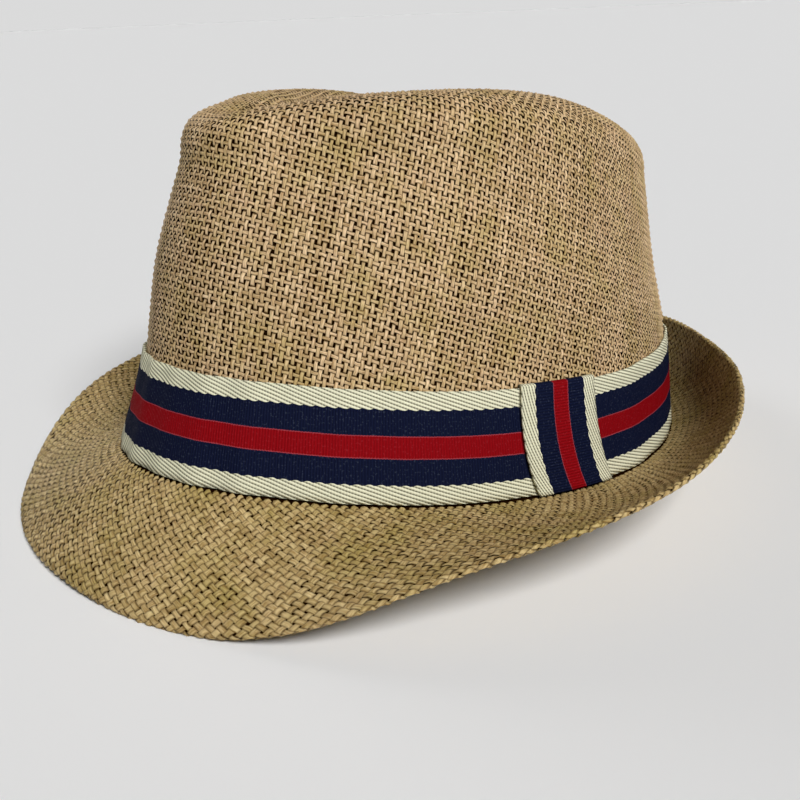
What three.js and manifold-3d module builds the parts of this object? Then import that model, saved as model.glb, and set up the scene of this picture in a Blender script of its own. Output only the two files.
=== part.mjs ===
// A straw fedora with a short brim, in millimetres, +Z up, its front facing -Y.
// The hat stands on a floor at z = 0 as it comes to rest by itself, on the front edge of the brim and on the
// brim's fold at the back, with the origin on the floor under its middle.
// It is built first in the hat's own frame, where z = 0 is the ribbon's lower edge, and then set down.
import * as THREE from "three";
import { mergeVertices } from "three/addons/utils/BufferGeometryUtils.js";
import { ConvexHull } from "three/addons/math/ConvexHull.js";
import Module from "manifold-3d";

// Head hole and walls
const HEAD_LENGTH = 207;
const HEAD_WIDTH = 155;
const OVAL_PINCH = 0.015; // how much the oval is drawn in at its four diagonals
const STRAW_WALL = 1.2;
const FIT_GAP = 0.3; // clearance between touching pieces

// Crown
const CROWN_HEIGHT = 111;
const SHOULDER_START = 0.86; // share of the height where the wall turns over to the top
const PINCH_DEPTH = 6.5;
const PINCH_ANGLE = 38;
const PINCH_SPREAD = 18;
const PINCH_START = 0.35; // share of the height where the front pinch begins
const SWELL = 0.4; // above the ribbon the straw swells out by this much
const SWELL_HEIGHT = 6; // and does so over this height
const DENT_DEPTH = 16;
const DENT_SPINE = 62; // length of the crease along the bottom of the dent
const DENT_SHIFT = -2; // the crease's middle, towards the front

// Brim
const BRIM_WIDTH = 40.5;
const BRIM_WALL = 1.4;
const BRIM_TWIST = -5; // degrees by which the left front corner is bent lower than the right
const HEM_WIDTH = 5;
const HEM_THICKNESS = 2.4;
const COLLAR_HEIGHT = 9; // the brim's inner edge, turned up inside the crown
const SIDE_DROP = 2; // how much lower the sides of the ring lie than its front and back
const REST_FLAT = 0.35; // depth of the small flats that the straw has taken where it stands

// Ribbon and its keeper tab
const RIBBON_WIDTH = 30.7;
const RIBBON_THICKNESS = 1;
const TAB_ANGLE = 85.8;
const TAB_LEAN = 3; // degrees by which its top leans towards the front
const TAB_WIDTH = 30;
const TAB_THICKNESS = 1;
const TAB_RISE = 0.9; // how far the tab stands above the ribbon's upper edge

// Steps of the faceted solids
const RING_COLUMNS = 72;
const BRIM_STEPS = 9;
const TAB_COLUMNS = 10;

// The crown's wall, a row for each height (a share of CROWN_HEIGHT), with how far it leans in
// at the front, side and back (shares of HEAD_WIDTH).
const CROWN_SECTIONS = [
  { height: 0.0, front: 0.0, side: 0.0, back: 0.0 },
  { height: 0.3, front: 0.052, side: 0.051, back: 0.019 },
  { height: 0.58, front: 0.078, side: 0.074, back: 0.076 },
  { height: 0.86, front: 0.126, side: 0.116, back: 0.107 },
];
const CREST = { front: 0.235, side: 0.223, back: 0.185 };

// The height of the crown's crest and of the dent's floor round the hat, as shares of CROWN_HEIGHT
// and of DENT_DEPTH, from the front (0 degrees) to the back (180).
const CREST_LINE = [
  { angle: 0, height: 0.946, dent: 0.62 },
  { angle: 45, height: 0.984, dent: 0.9 },
  { angle: 90, height: 1.0, dent: 1.0 },
  { angle: 135, height: 0.915, dent: 0.62 },
  { angle: 180, height: 0.89, dent: 0.5 },
];

// The brim round the hat: its width (a share of BRIM_WIDTH), how it rises from root to edge in
// degrees, and how many degrees it bends on the way.
const BRIM_LINE = [
  { angle: 0, width: 0.9, rise: -44, bend: -24 },
  { angle: 30, width: 1.0, rise: -33, bend: -16 },
  { angle: 60, width: 0.965, rise: 4, bend: 10 },
  { angle: 90, width: 1.01, rise: 24.5, bend: 36 },
  { angle: 120, width: 0.85, rise: 45.5, bend: 54 },
  { angle: 150, width: 0.71, rise: 58, bend: 56 },
  { angle: 180, width: 0.73, rise: 62, bend: 54 },
];

// Offsets of each layer, outwards from the head hole
const COLLAR_OUT = STRAW_WALL;
const CROWN_IN = COLLAR_OUT + FIT_GAP;
const CROWN_OUT = CROWN_IN + STRAW_WALL;
const RIBBON_IN = CROWN_OUT + FIT_GAP;
const RIBBON_OUT = RIBBON_IN + RIBBON_THICKNESS;
const TAB_IN = RIBBON_OUT + FIT_GAP;
const TAB_OUT = TAB_IN + TAB_THICKNESS;

const degrees = THREE.MathUtils.degToRad;
const ease = (x) => x * x * (3 - 2 * x);
const clamp01 = (x) => Math.min(1, Math.max(0, x));

// A smooth curve through a table's column: key names the column that x runs along.
// At both ends of a closed line, the front and the back of the hat, the curve is level.
function along(rows, key, column, x, levelEnds = false) {
  const last = rows.length - 1;
  let i = 0;
  while (i < last - 1 && x > rows[i + 1][key]) i += 1;
  const slope = (k) => {
    if (levelEnds && (k === 0 || k === last)) return 0;
    const a = rows[Math.max(k - 1, 0)];
    const b = rows[Math.min(k + 1, last)];
    return (b[column] - a[column]) / (b[key] - a[key]);
  };
  const [p, q] = [rows[i], rows[i + 1]];
  const step = q[key] - p[key];
  const t = (x - p[key]) / step;
  const rising = ease(t);
  const start = slope(i) * step * t * (1 - t) * (1 - t);
  const end = slope(i + 1) * step * t * t * (t - 1);
  return p[column] * (1 - rising) + q[column] * rising + start + end;
}

// The angle from the front, 0 to 180 degrees on either side
const fromFront = (angle) => Math.abs(THREE.MathUtils.euclideanModulo(angle + 180, 360) - 180);
const round = (table, column, angle) => along(table, "angle", column, fromFront(angle), true);
const ringHeight = (angle) => SIDE_DROP * Math.cos(2 * degrees(angle));

// Mixes a value's front, side and back amounts at an angle round the hat
function mix({ front, side, back }, angle) {
  const c = Math.cos(degrees(angle));
  const even = (front + back) / 2;
  return side + (even - side) * c * c + ((front - back) / 2) * c;
}

// A point of the head's oval and its outward direction, moved outwards by a distance
function oval(angle, outwards) {
  const t = degrees(angle);
  const [c, s] = [Math.cos(t), Math.sin(t)];
  const k = 1 - OVAL_PINCH * (1 - Math.cos(4 * t));
  const dk = -4 * OVAL_PINCH * Math.sin(4 * t);
  const [a, b] = [HEAD_WIDTH / 2, HEAD_LENGTH / 2];
  const along = new THREE.Vector2(a * (c * k + s * dk), -b * (-s * k + c * dk)).normalize();
  const out = new THREE.Vector2(along.y, -along.x);
  return new THREE.Vector2(a * s * k, -b * c * k).addScaledVector(out, outwards);
}

const at = (angle, outwards, z) => {
  const p = oval(angle, outwards);
  return new THREE.Vector3(p.x, p.y, z);
};

const crestHeight = (angle) => round(CREST_LINE, "height", angle) * CROWN_HEIGHT;

// How far the wall leans in at a share of its height
function wallLean(angle, share) {
  const column = (name) => along(CROWN_SECTIONS, "height", name, share);
  return HEAD_WIDTH * mix({ front: column("front"), side: column("side"), back: column("back") }, angle);
}

// The same at a height above the ribbon's lower edge, for what lies against the wall
const leanAt = (angle, height) => wallLean(angle, height / crestHeight(angle));

// The ring's wave dies out towards the crest.
const raised = (angle, height) => height + (1 - height / crestHeight(angle)) * ringHeight(angle);

// A point of a layer that lies against the wall
const onWall = (angle, outwards, height) =>
  at(angle, outwards - leanAt(angle, height), raised(angle, height));

// The crown's outer face. Level 0 to 1 climbs the wall and shoulder to the crest, 1 to 2 goes on
// down into the dent, to the crease at its bottom.
function crownFace(angle, level) {
  const share = Math.min(level, 1);
  let lean = wallLean(angle, Math.min(share, SHOULDER_START));
  if (share > SHOULDER_START) {
    const turn = (share - SHOULDER_START) / (1 - SHOULDER_START);
    lean += (mix(CREST, angle) * HEAD_WIDTH - lean) * (1 - Math.sqrt(1 - turn * turn));
  }
  const nearPinch = (fromFront(angle) - PINCH_ANGLE) / PINCH_SPREAD;
  const upPinch = clamp01((share - PINCH_START) / (1 - PINCH_START)) ** 1.5;
  const pinch = PINCH_DEPTH * Math.exp(-nearPinch * nearPinch) * upPinch;
  const height = share * crestHeight(angle);
  const clear = clamp01((height - RIBBON_WIDTH - TAB_RISE) / SWELL_HEIGHT);
  const out = CROWN_OUT + SWELL * ease(clear) - lean - pinch;
  const edge = at(angle, out, raised(angle, height));
  if (level <= 1) return edge;
  const inwards = level - 1;
  const spine = DENT_SHIFT - (Math.cos(degrees(angle)) * DENT_SPINE) / 2;
  const floor = edge.z - DENT_DEPTH * round(CREST_LINE, "dent", angle);
  const fall = ease(inwards);
  return new THREE.Vector3(
    edge.x * (1 - inwards),
    edge.y * (1 - inwards) + spine * inwards,
    edge.z * (1 - fall) + floor * fall,
  );
}

// The same face moved in by the straw's wall
function crownInside(angle, level) {
  const small = 0.01;
  const p = crownFace(angle, level);
  if (level >= 2) return p.setZ(p.z - STRAW_WALL);
  const up = crownFace(angle, Math.min(level + small, 2)).sub(crownFace(angle, Math.max(level - small, 0)));
  const across = crownFace(angle + 1, level).sub(crownFace(angle - 1, level));
  return p.addScaledVector(across.cross(up).normalize(), -STRAW_WALL);
}

// A closed surface of quads over rows of points. Each row closes on itself, and the last row
// meets the first.
function closedMesh(rows, lastMeetsFirst = true) {
  const columns = rows[0].length;
  const index = [];
  const count = lastMeetsFirst ? rows.length : rows.length - 1;
  for (let r = 0; r < count; r += 1) {
    const next = (r + 1) % rows.length;
    for (let c = 0; c < columns; c += 1) {
      const right = (c + 1) % columns;
      const [a, b] = [r * columns + c, r * columns + right];
      const [d, e] = [next * columns + c, next * columns + right];
      index.push(a, b, e, a, e, d);
    }
  }
  const geometry = new THREE.BufferGeometry().setFromPoints(rows.flat());
  geometry.setIndex(index);
  return geometry;
}

const ringAngles = Array.from({ length: RING_COLUMNS }, (_, i) => (i * 360) / RING_COLUMNS);

// The crown: a hollow shell, open below, dented on top and pinched at the front
function crownGeometry() {
  const wall = [0.1, 0.2, 0.3, 0.33, 0.4, 0.5, 0.6, 0.69, 0.78, 0.86];
  const shoulder = [0.9, 0.94, 0.97, 0.99, 1];
  const dent = [1.12, 1.26, 1.42, 1.6, 1.8, 2];
  const bottom = (FIT_GAP * 4) / CROWN_HEIGHT;
  const levels = [bottom, ...wall, ...shoulder, ...dent];
  const outside = levels.map((level) => ringAngles.map((angle) => crownFace(angle, level)));
  const inside = levels.map((level) => ringAngles.map((angle) => crownInside(angle, level)));
  inside[0].forEach((p, i) => p.setZ(outside[0][i].z));
  return closedMesh([...inside.reverse(), ...outside], false);
}

// The brim's section at an angle, as points outwards and up, with the half thickness at each:
// the collar inside the crown, the fold under the ribbon, then the bent brim and its hem.
function brimSection(angle) {
  const width = BRIM_WIDTH * round(BRIM_LINE, "width", angle);
  const bend = round(BRIM_LINE, "bend", angle);
  const rise = round(BRIM_LINE, "rise", angle) + BRIM_TWIST * Math.sin(2 * degrees(angle));
  const middle = COLLAR_OUT / 2;
  const top = ringHeight(angle);
  const half = BRIM_WALL / 2;
  const under = top - FIT_GAP - half;
  const points = [
    { out: middle - leanAt(angle, COLLAR_HEIGHT), z: top + COLLAR_HEIGHT, half: STRAW_WALL / 2 },
    { out: middle - leanAt(angle, 1.5), z: top + 1.5, half: STRAW_WALL / 2 },
    { out: middle, z: top - 0.2, half: STRAW_WALL / 2 },
    { out: CROWN_OUT, z: under - 0.2, half },
  ];
  const root = { out: RIBBON_OUT + 0.4, z: under - 0.3 };
  const hemStart = 1 - HEM_WIDTH / width;
  const shares = Array.from({ length: BRIM_STEPS - 2 }, (_, i) => (i * hemStart) / (BRIM_STEPS - 3));
  shares.push(hemStart + 0.02, 1);
  let [out, z, before] = [root.out, root.z, 0];
  for (const share of shares) {
    const length = (share - before) * width;
    const slope = degrees(rise + bend * ((share + before) / 2 - 0.5));
    out += length * Math.cos(slope);
    z += length * Math.sin(slope);
    before = share;
    points.push({ out, z, half: share > hemStart ? HEM_THICKNESS / 2 : half });
  }
  return points;
}

// The two faces of the section and its round edge, as one closed loop
function brimLoop(angle) {
  const points = brimSection(angle);
  const side = points.map((p, i) => {
    const a = points[Math.max(i - 1, 0)];
    const b = points[Math.min(i + 1, points.length - 1)];
    const length = Math.hypot(b.out - a.out, b.z - a.z);
    return { x: -(b.z - a.z) / length, z: (b.out - a.out) / length };
  });
  const face = (sign) => points.map((p, i) => at(angle, p.out + sign * side[i].x * p.half, p.z + sign * side[i].z * p.half));
  const last = points.length - 1;
  const [tip, normal] = [points[last], side[last]];
  const nose = [0.6, 0, -0.6].map((turn) => {
    const reach = tip.half * Math.sqrt(1 - turn * turn);
    const out = tip.out + normal.z * reach + normal.x * tip.half * turn;
    return at(angle, out, tip.z - normal.x * reach + normal.z * tip.half * turn);
  });
  return [...face(1), ...nose, ...face(-1).reverse()];
}

function brimGeometry() {
  const loops = ringAngles.map(brimLoop);
  const rows = loops[0].map((_, i) => loops.map((loop) => loop[i]));
  return closedMesh(rows.reverse());
}

// The ribbon round the crown: a flat band that leans in with the wall
function ribbonGeometry() {
  const line = (outwards, height) => ringAngles.map((angle) => onWall(angle, outwards, height));
  const heights = [0, 0.35, 0.7, 1].map((share) => share * RIBBON_WIDTH);
  const outside = heights.map((height) => line(RIBBON_OUT, height));
  const inside = heights.map((height) => line(RIBBON_IN, height)).reverse();
  return closedMesh([...outside, ...inside]);
}

// The tab: the same ribbon stood upright round the band, its top turned over the band's edge
function tabGeometry() {
  const speed = oval(TAB_ANGLE + 1, RIBBON_OUT).distanceTo(oval(TAB_ANGLE - 1, RIBBON_OUT)) / 2;
  const halfTurn = TAB_WIDTH / 2 / speed;
  const leanTurn = Math.tan(degrees(TAB_LEAN)) / speed;
  const top = RIBBON_WIDTH + TAB_RISE;
  const hook = RIBBON_WIDTH + FIT_GAP;
  const profile = [
    { out: TAB_IN, height: 0 },
    { out: TAB_OUT, height: 0 },
    { out: TAB_OUT, height: top / 2 },
    { out: TAB_OUT, height: top },
    { out: RIBBON_OUT, height: top + 0.2 },
    { out: RIBBON_OUT, height: hook },
    { out: TAB_IN, height: hook },
    { out: TAB_IN, height: top / 2 },
  ];
  const leaning = (angle, height) => angle - leanTurn * (height - RIBBON_WIDTH / 2);
  const loop = (angle) => profile.map((p) => onWall(leaning(angle, p.height), p.out, p.height));
  const sections = Array.from({ length: TAB_COLUMNS + 1 }, (_, i) =>
    loop(TAB_ANGLE + halfTurn * ((2 * i) / TAB_COLUMNS - 1)),
  );
  return cappedMesh(sections);
}

// A run of alike sections with a flat cap at each end
function cappedMesh(sections) {
  const size = sections[0].length;
  const outline = sections[0].map((_, i) => i);
  const index = [];
  for (let s = 0; s < sections.length - 1; s += 1) {
    for (const i of outline) {
      const next = (i + 1) % size;
      const [a, b] = [s * size + i, s * size + next];
      index.push(a, b + size, b, a, a + size, b + size);
    }
  }
  const flat = sections[0].map((p) => new THREE.Vector2(Math.hypot(p.x, p.y), p.z));
  const cap = THREE.ShapeUtils.triangulateShape(flat, []);
  const end = (sections.length - 1) * size;
  for (const [a, b, c] of cap) index.push(a, b, c, end + a, end + c, end + b);
  const geometry = new THREE.BufferGeometry().setFromPoints(sections.flat());
  geometry.setIndex(index);
  return geometry;
}

// Setting the hat down: of all flat surfaces that its hull could stand on, it comes to rest on
// the one nearest its centre of mass.
function restingTurn(pieces) {
  const points = [];
  const centre = new THREE.Vector3();
  let total = 0;
  const triangle = new THREE.Triangle();
  for (const { geometry, wall } of pieces) {
    const position = geometry.getAttribute("position");
    const index = geometry.getIndex();
    for (let i = 0; i < position.count; i += 1) points.push(new THREE.Vector3().fromBufferAttribute(position, i));
    for (let i = 0; i < index.count; i += 3) {
      triangle.setFromAttributeAndIndices(position, index.getX(i), index.getX(i + 1), index.getX(i + 2));
      const weight = triangle.getArea() * wall;
      centre.addScaledVector(triangle.getMidpoint(new THREE.Vector3()), weight);
      total += weight;
    }
  }
  centre.divideScalar(total);
  const hull = new ConvexHull().setFromPoints(points);
  const standing = hull.faces.filter((face) => face.normal.z < -0.8);
  const reach = (face) => face.constant - face.normal.dot(centre);
  const best = standing.reduce((a, b) => (reach(b) < reach(a) ? b : a));
  const turn = new THREE.Quaternion().setFromUnitVectors(best.normal, new THREE.Vector3(0, 0, -1));
  return new THREE.Matrix4().makeRotationFromQuaternion(turn);
}

// manifold-3d, which cuts the flats
const wasm = await Module();
wasm.setup();

function toSolid(geometry) {
  const bare = geometry.clone();
  bare.deleteAttribute("normal");
  bare.deleteAttribute("uv");
  const merged = mergeVertices(bare, 1e-4);
  return new wasm.Manifold(
    new wasm.Mesh({
      numProp: 3,
      vertProperties: new Float32Array(merged.getAttribute("position").array),
      triVerts: new Uint32Array(merged.getIndex().array),
    }),
  );
}

function toGeometry(solid) {
  const mesh = solid.getMesh();
  const geometry = new THREE.BufferGeometry();
  const position = new Float32Array(mesh.numVert * 3);
  for (let i = 0; i < mesh.numVert; i += 1) {
    position.set(mesh.vertProperties.subarray(i * mesh.numProp, i * mesh.numProp + 3), i * 3);
  }
  geometry.setAttribute("position", new THREE.BufferAttribute(position, 3));
  geometry.setIndex(new THREE.BufferAttribute(mesh.triVerts, 1));
  return geometry;
}

// Cuts away what reaches below the floor, which leaves small flats to stand on
function cutAtFloor(geometry) {
  const depth = 10;
  const size = HEAD_LENGTH + 4 * BRIM_WIDTH;
  const floor = new THREE.BoxGeometry(size, size, depth).translate(0, 0, -depth / 2);
  return toGeometry(toSolid(geometry).subtract(toSolid(floor)));
}

const straw = new THREE.MeshStandardMaterial({ color: 0xb8945a, roughness: 0.85, metalness: 0 });
const ribbonCloth = new THREE.MeshStandardMaterial({ color: 0x18213f, roughness: 0.8, metalness: 0 });

const pieces = {
  crown: { geometry: crownGeometry(), material: straw, wall: STRAW_WALL },
  brim: { geometry: brimGeometry(), material: straw, wall: BRIM_WALL },
  ribbon_band: { geometry: ribbonGeometry(), material: ribbonCloth, wall: RIBBON_THICKNESS },
  ribbon_tab: { geometry: tabGeometry(), material: ribbonCloth, wall: TAB_THICKNESS },
};

// The pieces are turned to rest, moved over the origin and let down onto the floor.
const turn = restingTurn(Object.values(pieces));
const bounds = new THREE.Box3();
for (const { geometry } of Object.values(pieces)) {
  geometry.applyMatrix4(turn);
  geometry.computeBoundingBox();
  bounds.union(geometry.boundingBox);
}
const middle = bounds.getCenter(new THREE.Vector3());
for (const piece of Object.values(pieces)) {
  piece.geometry.translate(-middle.x, -middle.y, -bounds.min.z - REST_FLAT);
}
pieces.brim.geometry = cutAtFloor(pieces.brim.geometry);

const hat = new THREE.Group();
for (const [name, { geometry, material }] of Object.entries(pieces)) {
  const mesh = new THREE.Mesh(geometry, material);
  mesh.name = name;
  hat.add(mesh);
}

export default hat;
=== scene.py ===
# A straw fedora: a woven crown and brim, and a striped ribbon with a keeper tab.
# The hat's form is worked out in its own frame, in millimetres, where z = 0 is the ribbon's lower edge
# and the front faces -Y. settle() then turns and moves it to the place where the solids stand.
import math

import bpy
import numpy as np
from bpy.props import FloatProperty, FloatVectorProperty, IntProperty, PointerProperty
from mathutils import Matrix, Vector
from mathutils.bvhtree import BVHTree


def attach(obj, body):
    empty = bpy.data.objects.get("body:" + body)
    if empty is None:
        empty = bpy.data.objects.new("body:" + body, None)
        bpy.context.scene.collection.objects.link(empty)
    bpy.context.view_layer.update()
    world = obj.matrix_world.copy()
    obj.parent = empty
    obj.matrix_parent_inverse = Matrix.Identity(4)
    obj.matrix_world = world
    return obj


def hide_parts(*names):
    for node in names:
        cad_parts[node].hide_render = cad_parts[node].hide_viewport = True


bl_info = {
    "name": "Straw Fedora",
    "version": (1, 0, 0),
    "blender": (4, 5, 0),
    "location": "3D View > Sidebar > Fedora",
    "description": "Weaves a straw fedora and trims it with a striped ribbon",
    "category": "Object",
}

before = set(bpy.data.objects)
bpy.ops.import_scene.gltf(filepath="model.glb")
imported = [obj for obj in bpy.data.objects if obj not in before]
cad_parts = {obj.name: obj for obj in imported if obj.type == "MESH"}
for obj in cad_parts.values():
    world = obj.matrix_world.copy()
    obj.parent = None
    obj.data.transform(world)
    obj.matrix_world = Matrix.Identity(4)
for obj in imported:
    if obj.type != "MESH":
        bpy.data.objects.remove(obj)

MM = 0.001
TAU = 2 * math.pi

# Head hole and walls, as in the solids
HEAD_LENGTH = 207.0
HEAD_WIDTH = 155.0
OVAL_PINCH = 0.015
STRAW_WALL = 1.2
FIT_GAP = 0.3

# Crown
CROWN_HEIGHT = 111.0
SHOULDER_START = 0.86
FRONT_EDGE = 1.35  # how much squarer the turn to the top is at the front
PINCH_DEPTH = 6.5
PINCH_ANGLE = 38.0
PINCH_SPREAD = 18.0
PINCH_START = 0.35
SWELL = 0.4
SWELL_HEIGHT = 6.0
DENT_DEPTH = 16.0
DENT_SPINE = 62.0
DENT_SHIFT = -2.0

# Brim
BRIM_WIDTH = 40.5
BRIM_WALL = 1.4
BRIM_TWIST = -5.0
HEM_WIDTH = 5.0
COLLAR_HEIGHT = 9.0
SIDE_DROP = 2.0

# Ribbon and its keeper tab
RIBBON_WIDTH = 30.7
RIBBON_THICKNESS = 1.0
TAB_ANGLE = 85.8
TAB_LEAN = 3.0
TAB_WIDTH = 30.0
TAB_RISE = 0.9
TAB_SWAY = 3.6
TAB_BOW = 3.6
BAND_SINK = 0.9
CREAM_FROM = 0.333
RED_TO = 0.103
TOOTH_PITCH = 3.42
TWILL_PITCH = 1.07
RIB_PITCH = TOOTH_PITCH / 4

# Offsets of each layer, outwards from the head hole
COLLAR_OUT = STRAW_WALL
CROWN_OUT = COLLAR_OUT + FIT_GAP + STRAW_WALL
RIBBON_IN = CROWN_OUT + FIT_GAP
RIBBON_OUT = RIBBON_IN + RIBBON_THICKNESS
TAB_IN = RIBBON_OUT + FIT_GAP

# Stage
FLOOR_SIZE = 200.0
FLOOR_GREY = 0.84
HORIZON_GREY = 0.42
BACKDROP_GREY = 0.705
BACKDROP_RADIUS = 18.0

# The turn and the shift that set the hat down on the floor
REST_TURN = np.array([
    [0.9994861, 0.0017521, -0.0320071],
    [0.0017521, 0.9940265, 0.1091247],
    [0.0320071, -0.1091247, 0.9935126],
])
REST_SHIFT = np.array([0.1651, 6.2095, 11.8979])

# The crown's wall: heights as shares of CROWN_HEIGHT, leans as shares of HEAD_WIDTH
CROWN_SECTIONS = {
    "height": [0.0, 0.3, 0.58, 0.86],
    "front": [0.0, 0.052, 0.078, 0.126],
    "side": [0.0, 0.051, 0.074, 0.116],
    "back": [0.0, 0.019, 0.076, 0.107],
}
CREST = {"front": 0.235, "side": 0.223, "back": 0.185}
CREST_LINE = {
    "angle": [0, 45, 90, 135, 180],
    "height": [0.925, 0.979, 1.0, 0.915, 0.89],
    "dent": [0.62, 0.9, 1.0, 0.62, 0.5],
}
BRIM_LINE = {
    "angle": [0, 30, 60, 90, 120, 150, 180],
    "width": [0.9, 1.0, 0.965, 1.01, 0.85, 0.71, 0.73],
    "rise": [-44, -33, 4, 24.5, 45.5, 58, 62],
    "bend": [-24, -16, 10, 36, 54, 56, 54],
}


def ease(x):
    return x * x * (3 - 2 * x)


def along(table, key, column, x, level_ends=False):
    """A smooth curve through a table's column."""
    keys = np.array(table[key], float)
    values = np.array(table[column], float)
    last = len(keys) - 1
    before = np.maximum(np.arange(last + 1) - 1, 0)
    after = np.minimum(np.arange(last + 1) + 1, last)
    slopes = (values[after] - values[before]) / (keys[after] - keys[before])
    if level_ends:
        slopes[[0, -1]] = 0
    i = np.clip(np.searchsorted(keys, x, side="left") - 1, 0, last - 1)
    step = keys[i + 1] - keys[i]
    t = (x - keys[i]) / step
    rising = ease(t)
    start = slopes[i] * step * t * (1 - t) ** 2
    end = slopes[i + 1] * step * t * t * (t - 1)
    return values[i] * (1 - rising) + values[i + 1] * rising + start + end


def from_front(angle):
    return np.abs(np.mod(angle + 180, 360) - 180)


def round_hat(table, column, angle):
    return along(table, "angle", column, from_front(angle), True)


def mix(front, side, back, angle):
    c = np.cos(np.radians(angle))
    return side + ((front + back) / 2 - side) * c * c + (front - back) / 2 * c


def ring_height(angle):
    return SIDE_DROP * np.cos(2 * np.radians(angle))


def at(angle, outwards, z):
    """A point at an angle round the head's oval, moved outwards."""
    t = np.radians(angle)
    c, s = np.cos(t), np.sin(t)
    k = 1 - OVAL_PINCH * (1 - np.cos(4 * t))
    dk = -4 * OVAL_PINCH * np.sin(4 * t)
    a, b = HEAD_WIDTH / 2, HEAD_LENGTH / 2
    tx, ty = a * (c * k + s * dk), -b * (-s * k + c * dk)
    size = np.hypot(tx, ty)
    x = a * s * k + outwards * ty / size
    y = -b * c * k - outwards * tx / size
    return np.stack(np.broadcast_arrays(x, y, z), -1)


def crest_height(angle):
    return round_hat(CREST_LINE, "height", angle) * CROWN_HEIGHT


def wall_lean(angle, share):
    columns = [along(CROWN_SECTIONS, "height", name, share) for name in ("front", "side", "back")]
    return HEAD_WIDTH * mix(*columns, angle)


def raised(angle, height):
    return height + (1 - height / crest_height(angle)) * ring_height(angle)


def on_wall(angle, outwards, height):
    """A point of a layer that lies against the crown's wall."""
    lean = wall_lean(angle, height / crest_height(angle))
    return at(angle, outwards - lean, raised(angle, height))


def crown_face(angle, level):
    """The crown's outer face: level 0 to 1 climbs to the crest, 1 to 2 goes down into the dent."""
    angle, level = np.broadcast_arrays(np.asarray(angle, float), np.asarray(level, float))
    share = np.minimum(level, 1)
    lean = wall_lean(angle, np.minimum(share, SHOULDER_START))
    turn = np.clip((share - SHOULDER_START) / (1 - SHOULDER_START), 0, 1)
    crest = mix(CREST["front"], CREST["side"], CREST["back"], angle) * HEAD_WIDTH
    square = 2 + FRONT_EDGE * ease(np.clip(2 - from_front(angle) / 45, 0, 1))
    lean = lean + (crest - lean) * (1 - (1 - turn ** square) ** (1 / square))
    near = (from_front(angle) - PINCH_ANGLE) / PINCH_SPREAD
    up = np.clip((share - PINCH_START) / (1 - PINCH_START), 0, 1) ** 1.5
    pinch = PINCH_DEPTH * np.exp(-near * near) * up
    height = share * crest_height(angle)
    clear = np.clip((height - RIBBON_WIDTH - TAB_RISE) / SWELL_HEIGHT, 0, 1)
    edge = at(angle, CROWN_OUT + SWELL * ease(clear) - lean - pinch, raised(angle, height))
    inwards = np.clip(level - 1, 0, 1)
    spine = DENT_SHIFT - np.cos(np.radians(angle)) * DENT_SPINE / 2
    floor = edge[..., 2] - DENT_DEPTH * round_hat(CREST_LINE, "dent", angle)
    fall = ease(inwards)
    return np.stack([
        edge[..., 0] * (1 - inwards),
        edge[..., 1] * (1 - inwards) + spine * inwards,
        edge[..., 2] * (1 - fall) + floor * fall,
    ], -1)


def unit(v):
    return v / np.maximum(np.linalg.norm(v, axis=-1, keepdims=True), 1e-9)


def lifted_crown(angle, level, lift):
    """The crown's face moved outwards by lift."""
    small = 0.004
    above, below = np.minimum(level + small, 2), np.maximum(level - small, 0)
    up = crown_face(angle, above) - crown_face(angle, below)
    across = crown_face(angle + 0.5, level) - crown_face(angle - 0.5, level)
    normal = unit(np.cross(across, up))
    normal = np.where((np.asarray(level) >= 1.995)[..., None], [0.0, 0.0, 1.0], normal)
    return crown_face(angle, level) + normal * np.asarray(lift)[..., None]


def brim_point(angle, length, lift):
    """A point of the brim at a length outwards from its root, lifted off its middle surface."""
    width = BRIM_WIDTH * round_hat(BRIM_LINE, "width", angle)
    bend = np.radians(round_hat(BRIM_LINE, "bend", angle))
    twist = BRIM_TWIST * np.sin(2 * np.radians(angle))
    start = np.radians(round_hat(BRIM_LINE, "rise", angle) + twist) - bend / 2
    slope = start + bend * length / width
    even = np.abs(bend) < 1e-3
    safe = np.where(even, 1.0, bend) / width
    run = np.where(even, length * np.cos(start), (np.sin(slope) - np.sin(start)) / safe)
    climb = np.where(even, length * np.sin(start), (np.cos(start) - np.cos(slope)) / safe)
    z = ring_height(angle) - FIT_GAP - BRIM_WALL / 2 - 0.3 + climb + lift * np.cos(slope)
    return at(angle, RIBBON_OUT + 0.4 + run - lift * np.sin(slope), z)


# The brim's cloth: its top face, the round nose of the hem and the turned hem below
BRIM_TOP = 0.5
HEM_BELOW = -1.1
UNDER_FACE = -0.5
NOSE = (BRIM_TOP - HEM_BELOW) / 2
NOSE_LENGTH = math.pi * NOSE


def brim_width(angle):
    return BRIM_WIDTH * round_hat(BRIM_LINE, "width", angle)


def brim_skin(angle, path, lift):
    """A point on the cloth's outer face, path millimetres from the root over the edge to the hem's end."""
    width = brim_width(angle)
    turn = np.clip((path - width) / NOSE_LENGTH, 0, 1) * math.pi
    back = np.maximum(path - width - NOSE_LENGTH, 0)
    reach = (NOSE + lift) * np.sin(turn)
    height = BRIM_TOP - NOSE + (NOSE + lift) * np.cos(turn)
    return brim_point(angle, np.minimum(path, width) - back + reach, height)


def band_width(angle):
    """How high the band reaches: a little less where it is pulled down beside the tab."""
    near = (wrap(angle - TAB_ANGLE - 8) / 34) ** 2
    return RIBBON_WIDTH - BAND_SINK * np.exp(-near)


def settle(points):
    """Points set down on the floor, where the lowest threads are pressed flat."""
    placed = (points @ REST_TURN.T + REST_SHIFT) * MM
    placed[..., 2] = np.maximum(placed[..., 2], 0.02 * MM)
    return placed


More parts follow.
